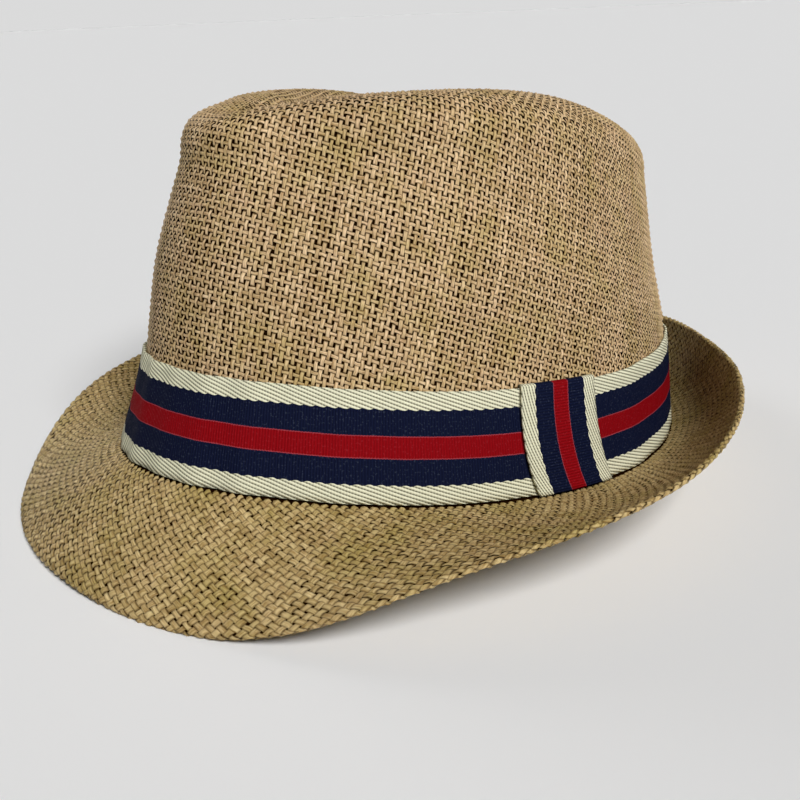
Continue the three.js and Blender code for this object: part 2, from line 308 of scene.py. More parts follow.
# The weave. Both families of threads lie at whole numbers of a pair of cloth coordinates: warp
# threads at whole p, weft threads at whole q. Each cloth is a function from (p, q, lift) to points
# and a mask of what lies inside it.
WALL_WARPS = 360  # warp threads round the crown's foot
WALL_TILT = 0.14  # how much the warps lean round the side, in threads per millimetre of height
WALL_WEFTS = 0.487  # weft threads per millimetre up the wall
WALL_DRIFT = 0.15  # how much the wefts climb round the side, in threads per millimetre
TIP_WARPS = 0.61
TIP_WEFTS = 0.487
BRIM_THREADS = 228  # threads of each family round the brim
BRIM_WARPS = 0.31  # threads per millimetre outwards
BRIM_WEFTS = 0.44

TURN = np.linspace(-180, 180, 1441)


def foot_length(points):
    steps = np.linalg.norm(np.diff(points, axis=0), axis=1)
    total = np.concatenate([[0], np.cumsum(steps)])
    return total - total[len(total) // 2]


FOOT = foot_length(at(TURN, CROWN_OUT, 0 * TURN))
SIDEWAYS = np.concatenate([[0], np.cumsum(np.diff(FOOT) * np.sin(np.radians((TURN[1:] + TURN[:-1]) / 2)))])
SIDEWAYS = SIDEWAYS - SIDEWAYS[len(SIDEWAYS) // 2]
WALL_STEPS = 240


def wall_table():
    """The crown's level at even shares of the way up each meridian, and the meridians' lengths."""
    angles = np.linspace(-180, 180, 361)
    levels = 1 - (1 - np.linspace(0, 1, 500)) ** 3
    points = crown_face(angles[:, None], levels[None])
    steps = np.linalg.norm(np.diff(points, axis=1), axis=2)
    climb = np.concatenate([np.zeros((len(angles), 1)), np.cumsum(steps, axis=1)], axis=1)
    even = np.linspace(0, 1, WALL_STEPS)
    table = np.array([np.interp(even, row / row[-1], levels) for row in climb])
    return table, climb[:, -1]


WALL_LEVELS, WALL_LENGTHS = wall_table()


def wall_level(angle, climb):
    """The crown's level at a length up the wall, and whether it is on the wall."""
    a = np.clip(angle + 180, 0, 359.999)
    i = a.astype(int)
    f = a - i
    length = WALL_LENGTHS[i] * (1 - f) + WALL_LENGTHS[i + 1] * f
    share = climb / length
    s = np.clip(share, 0, 1) * (WALL_STEPS - 1.001)
    j = s.astype(int)
    g = s - j
    near = WALL_LEVELS[i, j] * (1 - g) + WALL_LEVELS[i, j + 1] * g
    far = WALL_LEVELS[i + 1, j] * (1 - g) + WALL_LEVELS[i + 1, j + 1] * g
    return near * (1 - f) + far * f, share


def wrap(angle):
    return np.mod(angle + 180, 360) - 180


def wall_cloth(p, q, lift):
    """The crown's wall: its threads lean and climb from the front round to the sides."""
    per_mm = WALL_WARPS / (2 * FOOT[-1])
    angle = np.interp(p / per_mm, FOOT, TURN)
    for _ in range(14):
        climb = (q - WALL_DRIFT * np.interp(angle, TURN, SIDEWAYS)) / WALL_WEFTS
        foot = (p + WALL_TILT * np.sin(np.radians(angle)) * climb) / per_mm
        angle = wrap(np.interp(foot, np.concatenate([FOOT[:-1] - 2 * FOOT[-1], FOOT, FOOT[1:] + 2 * FOOT[-1]]),
                               np.concatenate([TURN[:-1] - 360, TURN, TURN[1:] + 360])))
    climb = (q - WALL_DRIFT * np.interp(angle, TURN, SIDEWAYS)) / WALL_WEFTS
    level, share = wall_level(angle, climb)
    over_crest = np.clip((share - 1) / 0.022, 0, 1)
    level = level + over_crest * 0.035
    inside = (climb > RIBBON_WIDTH - 4) & (share < 1.022)
    return lifted_crown(angle, level, lift - 0.25 * over_crest), inside


class TipCloth:
    """The crown's dented top, from the crest inwards: its threads run straight in plan."""

    def __init__(self):
        angles = np.arange(0, 360, 1.0)
        levels = 1 + np.linspace(0, 1, 61)
        points = crown_face(angles[None], levels[:, None])
        count = len(angles)
        rows, columns = np.meshgrid(np.arange(len(levels) - 1), np.arange(count), indexing="ij")
        right = (columns + 1) % count
        quads = np.stack([
            rows * count + columns, rows * count + right,
            (rows + 1) * count + right, (rows + 1) * count + columns,
        ], -1).reshape(-1, 4)
        self.tree = BVHTree.FromPolygons(points.reshape(-1, 3).tolist(), quads.tolist())

    def __call__(self, p, q, lift):
        x, y = p / TIP_WARPS, q / TIP_WEFTS
        flat = np.stack([x.ravel(), y.ravel()], -1)
        points = np.zeros((len(flat), 3))
        inside = np.zeros(len(flat), bool)
        down = Vector((0, 0, -1))
        near = (np.abs(flat[:, 0]) < 80) & (np.abs(flat[:, 1]) < 100)
        raise_by = lift.ravel()
        for i in np.flatnonzero(near):
            hit, normal, _, _ = self.tree.ray_cast(Vector((flat[i, 0], flat[i, 1], 200)), down)
            if hit is None:
                continue
            if normal.z < 0:
                normal = -normal
            points[i] = hit + normal * raise_by[i]
            inside[i] = True
        return points.reshape(p.shape + (3,)), inside.reshape(p.shape)


BRIM_FOOT = foot_length(at(TURN, RIBBON_OUT + 20, 0 * TURN))


def brim_place(p, q):
    path = (p - q) / (BRIM_WARPS + BRIM_WEFTS)
    foot = (p - BRIM_WARPS * path) * 2 * BRIM_FOOT[-1] / BRIM_THREADS
    angle = np.interp(foot, BRIM_FOOT, TURN)
    inside = (foot >= BRIM_FOOT[0]) & (foot < BRIM_FOOT[-1] + 4)
    return angle + np.where(foot > BRIM_FOOT[-1], (foot - BRIM_FOOT[-1]) / 2, 0), path, inside


def brim_cloth(p, q, lift):
    """The brim's top face, over the edge and back below as the hem."""
    angle, path, inside = brim_place(p, q)
    width = brim_width(angle)
    inside = inside & (path > -1.5) & (path < width + NOSE_LENGTH + HEM_WIDTH)
    return brim_skin(angle, path, lift), inside


def under_cloth(p, q, lift):
    """The brim's lower face, from the root to under the hem."""
    angle, path, inside = brim_place(p, q)
    inside = inside & (path > -1.5) & (path < brim_width(angle) - HEM_WIDTH + 3)
    return brim_point(angle, path, UNDER_FACE - lift), inside


def set_mesh(name, points, faces, uv=None, values=None, smooth=True):
    """A mesh from arrays, with its own UV map and named point values."""
    mesh = bpy.data.meshes.new(name)
    mesh.vertices.add(len(points))
    mesh.vertices.foreach_set("co", np.ascontiguousarray(points, dtype=np.float32).ravel())
    faces = np.ascontiguousarray(faces, dtype=np.int32)
    mesh.loops.add(faces.size)
    mesh.loops.foreach_set("vertex_index", faces.ravel())
    mesh.polygons.add(len(faces))
    mesh.polygons.foreach_set("loop_start", np.arange(0, faces.size, faces.shape[1], dtype=np.int32))
    mesh.update(calc_edges=True)
    mesh.polygons.foreach_set("use_smooth", np.full(len(faces), smooth))
    if uv is not None:
        layer = mesh.uv_layers.new(name="UVMap")
        layer.data.foreach_set("uv", np.ascontiguousarray(uv[faces.ravel()], dtype=np.float32).ravel())
    for key, numbers in (values or {}).items():
        attribute = mesh.attributes.new(key, "FLOAT", "POINT")
        attribute.data.foreach_set("value", np.ascontiguousarray(numbers, dtype=np.float32))
    mesh.validate()
    piece = bpy.data.objects.new(name, mesh)
    bpy.context.scene.collection.objects.link(piece)
    return piece


def threads(cloth, family, first, last, start, end, style, seed, sunk=1):
    """One family of threads of a plain weave, as rounded strips that go over and under the other family.

    first to last are the threads' whole coordinates, start to end the range that they run over, and
    style holds width, height and roundness in threads and millimetres.
    """
    width, height, roundness = style
    rng = np.random.default_rng(seed)
    lines = np.arange(first, last + 1)
    rings = np.arange(2 * start, 2 * end + 1) / 2
    line, ring = np.meshgrid(lines.astype(float), rings, indexing="ij")
    wide = width * (1 + 0.24 * (rng.random(len(lines)) - 0.5))[:, None] * np.ones_like(ring)
    wide *= 1 + 0.3 * (rng.random(wide.shape) - 0.5)
    waver = np.cumsum(rng.normal(0, 1, line.shape), axis=1)
    kernel = np.hanning(13) / np.hanning(13).sum()
    slow = np.array([np.convolve(row, kernel, "same") for row in waver])
    drift = 0.05 * (slow - np.array([np.convolve(row, np.ones(41) / 41, "same") for row in waver]))
    drift = np.clip(drift, -0.16, 0.16) + rng.normal(0, 0.03, line.shape)
    over = np.cos(math.pi * (line + ring)) * (1 if family == "warp" else -1) * sunk
    across = np.array([-0.5, 0.0, 0.5])
    side = line[..., None] + drift[..., None] + wide[..., None] * across
    run = np.repeat(ring[..., None], 3, axis=2)
    tall = height * (1 + 0.5 * (rng.random(line.shape) - 0.5))
    lift = (tall * over)[..., None] - roundness * (2 * np.abs(across)) ** 2
    p, q = (side, run) if family == "warp" else (run, side)
    points, inside = cloth(p, q, lift)
    ring_in = inside.all(axis=2)
    keep = ring_in[:, :-1] & ring_in[:, 1:]
    number = np.arange(points.shape[0] * points.shape[1] * 3).reshape(points.shape[:3])
    i, j = np.nonzero(keep)
    faces = []
    for a in (0, 1):
        quad = [number[i, j, a], number[i, j, a + 1], number[i, j + 1, a + 1], number[i, j + 1, a]]
        faces.append(np.stack(quad, -1))
    faces = np.concatenate(faces)
    if (family == "weft") != (sunk < 0):
        faces = faces[:, ::-1]
    slow_tone = np.array([np.convolve(row, np.ones(9) / 3, "same") for row in rng.normal(0, 0.3, ring.shape)])
    tone = 0.45 * rng.random(len(lines))[:, None] + 0.3 * rng.random(ring.shape) + 0.25 * (0.5 + slow_tone)
    tone = np.clip(tone, 0, 1)
    uv = np.stack([np.broadcast_to(across + 0.5, run.shape), run + line[..., None] * 7.31], -1)
    flat = points.reshape(-1, 3)
    used, packed = np.unique(faces, return_inverse=True)
    values = {
        "tone": np.repeat(tone[..., None], 3, axis=2).ravel()[used],
        "over": np.repeat((0.5 + 0.5 * over)[..., None], 3, axis=2).ravel()[used],
    }
    return flat[used], packed.reshape(faces.shape), uv.reshape(-1, 2)[used], values


def join_parts(parts):
    """Several (points, faces, uv, values) as one."""
    offset = 0
    points, faces, uv = [], [], []
    values = {key: [] for key in parts[0][3]}
    for part in parts:
        points.append(part[0])
        faces.append(part[1] + offset)
        uv.append(part[2])
        for key in values:
            values[key].append(part[3][key])
        offset += len(part[0])
    return np.concatenate(points), np.concatenate(faces), np.concatenate(uv), {k: np.concatenate(v) for k, v in values.items()}


def edit(piece, *steps):
    """Runs edit-mode operators on one piece. Each step is an operator and its settings."""
    bpy.ops.object.select_all(action="DESELECT")
    piece.select_set(True)
    bpy.context.view_layer.objects.active = piece
    bpy.ops.object.mode_set(mode="EDIT")
    for operator, settings in steps:
        operator(**settings)
    bpy.ops.object.mode_set(mode="OBJECT")


def select_rings(piece, chosen):
    """Selects the points for which chosen is true, and nothing else."""
    mesh = piece.data
    mesh.polygons.foreach_set("select", np.zeros(len(mesh.polygons), bool))
    mesh.edges.foreach_set("select", np.zeros(len(mesh.edges), bool))
    mesh.vertices.foreach_set("select", np.asarray(chosen, bool))
    ends = np.zeros(2 * len(mesh.edges), np.int32)
    mesh.edges.foreach_get("vertices", ends)
    mesh.edges.foreach_set("select", np.asarray(chosen, bool)[ends.reshape(-1, 2)].all(1))


def finish_sheet(piece, place, u, v, materials, thickness):
    """Gives a shaped sheet its UV map, its materials and its thickness. The last material is the inner side's."""
    mesh = piece.data
    for material in materials:
        mesh.materials.append(material)
    mesh.uv_layers.new(name="UVMap")
    corners = np.zeros(len(mesh.loops), np.int32)
    mesh.loops.foreach_get("vertex_index", corners)
    row, column = place[corners, 0].reshape(-1, 4), place[corners, 1].reshape(-1, 4)
    crossing = (column.max(1) - column.min(1)) > 1
    column = np.where(crossing[:, None] & (column == 0), u.shape[1] - 1, column)
    crossing = (row.max(1) - row.min(1)) > 1
    row = np.where(crossing[:, None] & (row == 0), u.shape[0] - 1, row)
    uv = np.stack([u[row, column], v[row, column]], -1)
    mesh.uv_layers[0].data.foreach_set("uv", uv.astype(np.float32).ravel())
    mesh.polygons.foreach_set("use_smooth", np.ones(len(mesh.polygons), bool))
    mesh.update()
    if thickness:
        edit(piece, (bpy.ops.mesh.select_all, {"action": "SELECT"}),
             (bpy.ops.mesh.remove_doubles, {"threshold": 0.001 * MM}))
        solid = piece.modifiers.new("thickness", "SOLIDIFY")
        solid.thickness = thickness * MM
        solid.offset = -1
        solid.use_even_offset = True
        solid.material_offset = len(materials) - 1
        bpy.ops.object.select_all(action="DESELECT")
        piece.select_set(True)
        bpy.context.view_layer.objects.active = piece
        bpy.ops.object.modifier_apply(modifier=solid.name)


def extruded_rings(name, rows, u, v, materials, thickness=0.0, bridged=False):
    """A circle extruded upwards once for each further row, then shaped to the rows of points.

    u and v hold the UV map, with one column more than the rows, and one row more where the last
    row is bridged to the first.
    """
    count, columns = rows.shape[:2]
    bpy.ops.object.select_all(action="DESELECT")
    bpy.ops.mesh.primitive_circle_add(vertices=columns, radius=1.0, fill_type="NOTHING")
    piece = bpy.context.object
    piece.name = piece.data.name = name
    bpy.ops.object.mode_set(mode="EDIT")
    bpy.ops.mesh.select_all(action="SELECT")
    for _ in range(count - 1):
        bpy.ops.mesh.extrude_region_move(TRANSFORM_OT_translate={"value": (0, 0, 1.0)})
    bpy.ops.object.mode_set(mode="OBJECT")
    mesh = piece.data
    points = np.zeros(3 * len(mesh.vertices))
    mesh.vertices.foreach_get("co", points)
    points = points.reshape(-1, 3)
    ring = np.rint(points[:, 2]).astype(int)
    around = np.degrees(np.arctan2(points[:, 1], points[:, 0])) / (360 / columns)
    place = np.stack([ring, np.rint(around).astype(int) % columns], -1)
    if bridged:
        select_rings(piece, (ring == 0) | (ring == count - 1))
        edit(piece, (bpy.ops.mesh.bridge_edge_loops, {}))
    mesh.vertices.foreach_set("co", settle(rows[place[:, 0], place[:, 1]]).ravel())
    mesh.update()
    face = mesh.polygons[0]
    lowest = rows[place[list(face.vertices), 0], place[list(face.vertices), 1]]
    middle = rows.reshape(-1, 3).mean(0)
    outwards = settle(lowest).mean(0) - settle(middle[None])[0]
    if bridged:
        edit(piece, (bpy.ops.mesh.select_all, {"action": "SELECT"}),
             (bpy.ops.mesh.normals_make_consistent, {"inside": False}))
    elif np.dot(np.array(face.normal)[:2], outwards[:2]) < 0:
        edit(piece, (bpy.ops.mesh.select_all, {"action": "SELECT"}), (bpy.ops.mesh.flip_normals, {}))
    finish_sheet(piece, place, u, v, materials, thickness)
    return piece


def around_map(columns, span, heights):
    """UV values for rings: even steps round to span, and a height for each row."""
    steps = np.arange(columns + 1) / columns * span
    return np.broadcast_arrays(steps[None], np.asarray(heights)[:, None])


class Nodes:
    """Short calls for building a material's nodes."""

    def __init__(self, name):
        self.material = bpy.data.materials.new(name)
        self.material.use_nodes = True
        self.tree = self.material.node_tree
        self.shader = self.tree.nodes["Principled BSDF"]

    def add(self, kind, **settings):
        node = self.tree.nodes.new(kind)
        for key, value in settings.items():
            setattr(node, key, value)
        return node

    def feed(self, socket, value):
        if isinstance(value, bpy.types.NodeSocket):
            self.tree.links.new(value, socket)
        elif value is not None:
            socket.default_value = value

    def math(self, operation, a, b=None, c=None, clamp=False):
        node = self.add("ShaderNodeMath", operation=operation, use_clamp=clamp)
        for socket, value in zip(node.inputs, (a, b, c)):
            self.feed(socket, value)
        return node.outputs[0]

    def blend(self, amount, a, b, how="MIX"):
        node = self.add("ShaderNodeMix", data_type="RGBA", blend_type=how)
        self.feed(node.inputs[0], amount)
        self.feed(node.inputs[6], (*a, 1) if isinstance(a, tuple) else a)
        self.feed(node.inputs[7], (*b, 1) if isinstance(b, tuple) else b)
        return node.outputs[2]

    def spread(self, value, low, high, to_low=0.0, to_high=1.0, how="LINEAR"):
        node = self.add("ShaderNodeMapRange", interpolation_type=how)
        for socket, number in zip(node.inputs, (value, low, high, to_low, to_high)):
            self.feed(socket, number)
        return node.outputs[0]

    def noise(self, vector, scale, detail=2.0, roughness=0.5):
        node = self.add("ShaderNodeTexNoise")
        self.feed(node.inputs["Vector"], vector)
        node.inputs["Scale"].default_value = scale
        node.inputs["Detail"].default_value = detail
        node.inputs["Roughness"].default_value = roughness
        return node.outputs["Fac"]

    def scaled(self, vector, scale):
        node = self.add("ShaderNodeMapping")
        self.feed(node.inputs["Vector"], vector)
        node.inputs["Scale"].default_value = scale
        return node.outputs[0]

    def place(self):
        return self.add("ShaderNodeTexCoord").outputs["Object"]

    def uv(self):
        return self.add("ShaderNodeUVMap", uv_map="UVMap").outputs[0]

    def value_of(self, name):
        return self.add("ShaderNodeAttribute", attribute_name=name).outputs["Fac"]

    def split(self, vector):
        node = self.add("ShaderNodeSeparateXYZ")
        self.feed(node.inputs[0], vector)
        return node.outputs[0], node.outputs[1]

    def bump(self, height, strength, distance, normal=None):
        node = self.add("ShaderNodeBump")
        node.inputs["Strength"].default_value = strength
        node.inputs["Distance"].default_value = distance
        self.feed(node.inputs["Height"], height)
        self.feed(node.inputs["Normal"], normal)
        return node.outputs[0]

    def finish(self, colour, roughness, normal=None, specular=0.5, tint=(1.0, 1.0, 1.0)):
        self.feed(self.shader.inputs["Base Color"], colour)
        self.feed(self.shader.inputs["Roughness"], roughness)
        self.feed(self.shader.inputs["Normal"], normal)
        self.shader.inputs["Specular IOR Level"].default_value = specular
        self.shader.inputs["Specular Tint"].default_value = (*tint, 1)
        return self.material


def straw_colour(n, tone, straw):
    """Straw that goes from tan to olive and to pink in patches, with its own tone in each thread."""
    place = n.place()
    colour = n.blend(tone, tuple(straw.dark), tuple(straw.light))
    olive = n.spread(n.noise(place, 60, 4, 0.65), 0.46, 0.66)
    colour = n.blend(n.math("MULTIPLY", olive, 0.7), colour, tuple(straw.olive))
    pink = n.spread(n.noise(n.scaled(place, (1.3, 1.3, 0.8)), 85, 4, 0.7), 0.5, 0.7)
    return n.blend(n.math("MULTIPLY", pink, 0.6), colour, tuple(straw.pink))


def thread_material(name, straw, side_shade, under_shade, tint):
    """Twisted paper straw: fine fibres along the thread, and painted shade where it dips under and at its sides.

    side_shade holds where the painted shade at the sides starts and how strong it gets, under_shade the
    heights between which the painted shade at the dips grows and its strength.
    """
    n = Nodes(name)
    u, v = n.split(n.uv())
    colour = straw_colour(n, n.value_of("tone"), straw)
    fibre = n.noise(n.scaled(n.uv(), (3.2, 0.45, 1.0)), 1.0, 3, 0.65)
    colour = n.blend(n.spread(fibre, 0.42, 0.68, 0.0, 0.82), colour, (0.47, 0.34, 0.17), "MULTIPLY")
    colour = n.blend(1.0, colour, tint, "MULTIPLY")
    # Painted shade: the thread darkens toward the shade colour at its sides and where it dips under the other threads.
    edge = n.math("ABSOLUTE", n.math("MULTIPLY_ADD", u, 2.0, -1.0))
    side = n.spread(edge, side_shade[0], 1.0, 0.0, side_shade[1], "SMOOTHSTEP")
    under = n.spread(n.value_of("over"), under_shade[0], under_shade[1], 0.0, under_shade[2], "SMOOTHSTEP")
    colour = n.blend(n.math("MAXIMUM", side, under), colour, tuple(straw.shade))
    roughness = n.spread(fibre, 0.2, 0.8, 0.42, 0.62)
    return n.finish(colour, roughness, n.bump(fibre, 0.8, 0.00025), specular=0.26, tint=(1.0, 0.84, 0.58))


# The crown's and the brim's threads, each with its own painted shade at the sides and dips, and its own tint.
def crown_thread(straw):
    return thread_material("paper_straw_crown", straw, (0.55, 0.82), (0.46, 0.2, 0.98), (1.015, 1.01, 0.985))


def brim_thread(straw):
    return thread_material("paper_straw_brim", straw, (0.45, 0.62), (0.66, 0.24, 0.92), (0.84, 0.862, 0.672))


def painted_gap_shade_material(straw):
    """Painted shade for the holes between the threads: the dark colour of the core sheet's outer face."""
    n = Nodes("straw_painted_gap_shade")
    dark = tuple(straw.gap)
    darker = tuple(c * 0.45 for c in straw.gap)
    colour = n.blend(n.noise(n.place(), 900, 2), darker, dark)
    return n.finish(colour, 0.9, specular=0.0)


def woven_material(straw):
    """The cloth's back, seen inside the crown: the same plain weave in relief, on its own UV map, with painted shade
    where the relief is low.
    """
    n = Nodes("woven_straw_inside")
    p, q = n.split(n.uv())

    def ridge(across, along_, phase):
        middle = n.math("ABSOLUTE", n.math("MULTIPLY_ADD", n.math("FRACT", across), 2.0, -1.0))
        body = n.math("SUBTRACT", 1.0, n.math("POWER", middle, 2.5))
        line = n.math("FLOOR", across)
        wave = n.math("COSINE", n.math("MULTIPLY", n.math("ADD", n.math("ADD", line, along_), phase), math.pi))
        return n.math("MULTIPLY", body, n.math("MULTIPLY_ADD", wave, 0.35, 0.65)), line

    warp, warp_line = ridge(p, q, -0.5)
    weft, weft_line = ridge(q, p, 0.5)
    height = n.math("MAXIMUM", warp, weft)
    on_top = n.math("GREATER_THAN", warp, weft)
    line = n.add("ShaderNodeMix", data_type="FLOAT")
    n.feed(line.inputs[0], on_top)
    n.feed(line.inputs[2], n.math("ADD", weft_line, 400.5))
    n.feed(line.inputs[3], warp_line)
    white = n.add("ShaderNodeTexWhiteNoise", noise_dimensions="1D")
    n.feed(white.inputs["W"], line.outputs[0])
    colour = straw_colour(n, white.outputs["Value"], straw)
    # Painted shade: the weave darkens toward the gap colour where its relief is low between threads.
    colour = n.blend(n.spread(height, 0.25, 0.6, 0.85, 0.0), colour, tuple(straw.gap))
    return n.finish(colour, 0.7, n.bump(height, 1.0, 0.0004), specular=0.35)


def ribbon_material(name, ribbon):
    """Striped ribbon: cream twill edges with toothed borders, ribbed navy and red between them, with painted shade in
    the ribs' troughs and along the twill's grooves.

    The UV map holds millimetres along the ribbon, and the share of its width.
    """
    n = Nodes(name)
    run, share = n.split(n.uv())
    cream, navy, red = (tuple(c) for c in (ribbon.cream, ribbon.navy, ribbon.red))
    sway = n.math("MULTIPLY_ADD", n.noise(n.scaled(n.uv(), (0.35, 3.0, 1.0)), 1.0, 2), 0.006, -0.003)
    tooth = n.math("FRACT", n.math("MULTIPLY", run, 1 / TOOTH_PITCH))
    tooth = n.math("SINE", n.math("MULTIPLY", n.math("POWER", tooth, 1.5), math.pi))
    tooth = n.math("MULTIPLY_ADD", tooth, 0.012, n.math("ADD", sway, -0.006))
    middle = n.math("ABSOLUTE", n.math("SUBTRACT", share, 0.5))
    rib = n.math("PINGPONG", n.math("MULTIPLY", run, 1 / RIB_PITCH), 0.5)
    height = n.math("MULTIPLY", share, RIBBON_WIDTH / TWILL_PITCH)
    twill = n.math("PINGPONG", n.math("MULTIPLY_ADD", run, 1 / TOOTH_PITCH, height), 0.5)
    in_cream = n.math("GREATER_THAN", n.math("ADD", middle, tooth), CREAM_FROM)
    red_edge = n.math("ADD", middle, n.math("MULTIPLY", rib, 0.008))
    in_red = n.math("LESS_THAN", n.math("ADD", red_edge, sway), RED_TO)
    rim = n.math("COMPARE", n.math("ADD", red_edge, sway), RED_TO - 0.0035, 0.0045)
    worn = n.noise(n.place(), 500, 3, 0.6)
    speck = n.spread(n.noise(n.scaled(n.uv(), (1.6, 50.0, 1.0)), 1.0, 1, 0.4), 0.60, 0.72)
    # Painted shade: the navy and the red are darkened in the troughs between the ribs.
    navy_cloth = n.blend(n.spread(rib, 0.0, 0.5, 0.6, 0.0), navy, tuple(c * 0.3 for c in navy))
    navy_cloth = n.blend(n.math("MULTIPLY", speck, 0.22), navy_cloth, (0.10, 0.12, 0.16))
    red_cloth = n.blend(n.spread(rib, 0.0, 0.5, 0.45, 0.0), red, tuple(c * 0.45 for c in red))
    red_cloth = n.blend(n.math("MULTIPLY", speck, 0.22), red_cloth, (0.40, 0.05, 0.07))
    red_cloth = n.blend(n.math("MULTIPLY", rim, 0.55), red_cloth, (0.38, 0.07, 0.09))
    # Painted shade: the cream is darkened to dark dots along the twill's grooves.
    line = n.spread(twill, 0.06, 0.34, 1.0, 0.0, "SMOOTHSTEP")
    dots = n.math("MULTIPLY", line, n.spread(rib, 0.12, 0.42, 1.0, 0.62, "SMOOTHSTEP"))
    cream_cloth = n.blend(dots, cream, tuple(c * f for c, f in zip(cream, (0.06, 0.06, 0.03))))
    cream_cloth = n.blend(n.math("MULTIPLY", worn, 0.22), cream_cloth, tuple(c * 0.72 for c in cream))
    colour = n.blend(in_red, navy_cloth, red_cloth)
    colour = n.blend(in_cream, colour, cream_cloth)
    ribs = n.math("MULTIPLY", rib, n.math("SUBTRACT", 1.0, n.math("MULTIPLY", in_cream, 0.6)))
    relief = n.math("ADD", ribs, n.math("MULTIPLY", twill, n.math("MULTIPLY", in_cream, 1.2)))
    roughness = n.spread(worn, 0.3, 0.7, 0.65, 0.8)
    return n.finish(colour, roughness, n.bump(relief, 0.9, 0.0003), specular=0.03)


class StrawSettings(bpy.types.PropertyGroup):
    """The straw's threads and colours."""

    warp_width: FloatProperty(name="Warp width", description="Width of an upright thread, in threads' spacing",
                              default=0.70, min=0.3, max=1.0, subtype="FACTOR")
    weft_width: FloatProperty(name="Weft width", description="Width of a level thread, in threads' spacing",
                              default=0.48, min=0.3, max=1.0, subtype="FACTOR")
    brim_width: FloatProperty(name="Brim thread width", description="Width of the brim's threads, in threads' spacing",
                              default=0.78, min=0.3, max=1.0, subtype="FACTOR")
    height: FloatProperty(name="Float height", description="How far a thread rises and dips, in millimetres",
                          default=0.3, min=0.05, max=0.8)
    light: FloatVectorProperty(name="Pale straw", description="Colour of the palest threads",
                               default=(0.90, 0.69, 0.45), subtype="COLOR", min=0, max=1)
    dark: FloatVectorProperty(name="Dull straw", description="Colour of the dullest threads",
                              default=(0.42, 0.285, 0.13), subtype="COLOR", min=0, max=1)
    olive: FloatVectorProperty(name="Olive straw", description="Colour of the olive patches",
                               default=(0.52, 0.40, 0.16), subtype="COLOR", min=0, max=1)
    pink: FloatVectorProperty(name="Pink straw", description="Colour of the pinkish patches",
                              default=(0.68, 0.48, 0.315), subtype="COLOR", min=0, max=1)
    # Painted shade: the dark colour of the core sheet between the threads and of the low parts of the inside weave.
    gap: FloatVectorProperty(name="Gaps", description="Colour in the gaps between threads",
                             default=(0.016, 0.0055, 0.0006), subtype="COLOR", min=0, max=1)
    # Painted shade: the colour that a thread's sides and dipping ends are darkened toward.
    shade: FloatVectorProperty(name="Shade", description="Colour of a thread's shaded sides and ends",
                               default=(0.060, 0.025, 0.003), subtype="COLOR", min=0, max=1)


class RibbonSettings(bpy.types.PropertyGroup):
    """The ribbon's colours."""

    cream: FloatVectorProperty(name="Cream", description="Colour of the ribbon's edges",
                               default=(0.80, 0.78, 0.575), subtype="COLOR", min=0, max=1)
    navy: FloatVectorProperty(name="Navy", description="Colour of the two dark stripes",
                              default=(0.0055, 0.0085, 0.030), subtype="COLOR", min=0, max=1)
    red: FloatVectorProperty(name="Red", description="Colour of the middle stripe",
                             default=(0.25, 0.0025, 0.0055), subtype="COLOR", min=0, max=1)


class StudioSettings(bpy.types.PropertyGroup):
    """The camera and lights."""

    azimuth: FloatProperty(name="Azimuth", description="Camera's direction round the hat, from its front",
                           default=math.radians(49.8), subtype="ANGLE")
    elevation: FloatProperty(name="Elevation", description="Camera's height above the hat's middle, as an angle",
                             default=math.radians(7.8), subtype="ANGLE")
    distance: FloatProperty(name="Distance", description="Camera's distance from the hat's middle",
                            default=0.3618, min=0.1, unit="LENGTH")
    lens: FloatProperty(name="Lens", description="Focal length on a 36 mm wide sensor, in millimetres",
                        default=46.8, min=10, max=200)
    pan: FloatProperty(name="Pan", description="Turn of the camera sideways off the hat's middle",
                       default=math.radians(-0.94), subtype="ANGLE")
    tilt: FloatProperty(name="Tilt", description="Turn of the camera up and down off the hat's middle",
                        default=math.radians(-7.62), subtype="ANGLE")
    roll: FloatProperty(name="Roll", description="Turn of the camera about its own axis",
                        default=math.radians(1.7), subtype="ANGLE")
    key_power: FloatProperty(name="Key light", description="Power of the soft light in front",
                             default=3.3, min=0)
    key_azimuth: FloatProperty(name="Key azimuth", description="Direction of the light in front, from the hat's front",
                               default=math.radians(80), subtype="ANGLE")
    key_elevation: FloatProperty(name="Key elevation", description="Height of the light in front, as an angle",
                                 default=math.radians(44), subtype="ANGLE")
    back_power: FloatProperty(name="Back light", description="Power of the soft light behind",
                              default=0.55, min=0)
    sky: FloatProperty(name="Sky", description="Brightness of the light from all round", default=0.04, min=0)
    seed: IntProperty(name="Seed", description="Chooses the straw's chance variation", default=7, min=0)


def adopt(piece, node, material=None):
    """Gives a finished piece its material, parents it to the root body and hides the solid that it replaces, if any."""
    if material:
        piece.data.materials.append(material)
    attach(piece, "root")
    if node:
        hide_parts(node)
    return piece


def shared(name, make):
    """A material made once and used by several pieces."""
    return bpy.data.materials.get(name) or make()


